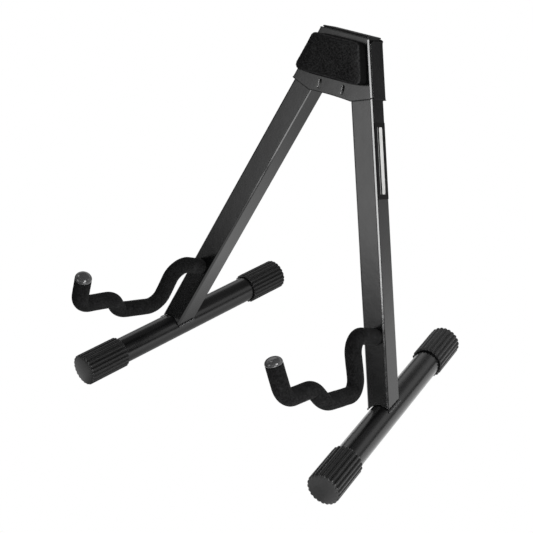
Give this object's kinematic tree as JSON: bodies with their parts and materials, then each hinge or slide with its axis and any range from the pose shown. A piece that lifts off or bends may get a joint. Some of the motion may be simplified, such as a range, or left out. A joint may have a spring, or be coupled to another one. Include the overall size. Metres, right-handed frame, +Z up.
{
  "type": "guitar stand",
  "caption": "Folding A-frame floor stand for a guitar: two hinged legs with cross feet, foam-sleeved cradle arms and a padded head that backs the instrument.",
  "frame": {"origin": "centre of the open stand's footprint, on the floor", "axes": "+Z up, -Y towards the front where the instrument is set down, +X to the stand's right leg as seen from the front"},
  "size_m": [0.3536, 0.3272, 0.3667],
  "materials": {
    "powder_coat": "satin black powder coat on steel",
    "foot_coat": "semi-gloss black paint on round steel tube",
    "cap_rubber": "ribbed moulded black rubber, satin",
    "foam_pad": "closed-cell black foam, fine mottled matt skin",
    "foam_sleeve": "soft black foam sleeve, velvety matt",
    "tip_plastic": "glossy dark grey moulded plastic",
    "closing_plastic": "satin black moulded plastic",
    "zinc_steel": "zinc-plated steel",
    "nylon": "natural nylon",
    "label_film": "black printed film, blank"
  },
  "bodies": {
    "head": {"head_front_plate": "powder_coat", "head_rear_channel": "powder_coat", "head_top_cap": "closing_plastic", "foam_pad": "foam_pad", "left_pivot_bolt": "zinc_steel", "left_pivot_nut": "zinc_steel", "left_washer_front": "nylon", "left_washer_rear": "nylon", "right_pivot_bolt": "zinc_steel", "right_pivot_nut": "zinc_steel", "right_washer_front": "nylon", "right_washer_rear": "nylon"},
    "left_leg": {"left_leg_tube": "powder_coat", "left_pivot_bush": "nylon", "left_yoke_rod": "powder_coat", "left_yoke_sleeve": "foam_sleeve", "left_yoke_tip": "tip_plastic", "left_foot_tube": "foot_coat", "left_foot_cap_front": "cap_rubber", "left_foot_cap_rear": "cap_rubber"},
    "right_leg": {"right_leg_tube": "powder_coat", "right_pivot_bush": "nylon", "right_yoke_rod": "powder_coat", "right_yoke_sleeve": "foam_sleeve", "right_yoke_tip": "tip_plastic", "right_foot_tube": "foot_coat", "right_foot_cap_front": "cap_rubber", "right_foot_cap_rear": "cap_rubber", "leg_label": "label_film"}
  },
  "joints": [
    {"name": "left_leg_swing", "type": "hinge", "parent": "head", "child": "left_leg", "pos_m": [-0.02786, 0.11646, 0.32481], "axis": [0, -0.936, 0.352], "range_deg": [0, 19.38]},
    {"name": "right_leg_swing", "type": "hinge", "parent": "head", "child": "right_leg", "pos_m": [0.02786, 0.11646, 0.32481], "axis": [0, 0.936, -0.352], "range_deg": [0, 19.38]}
  ]
}
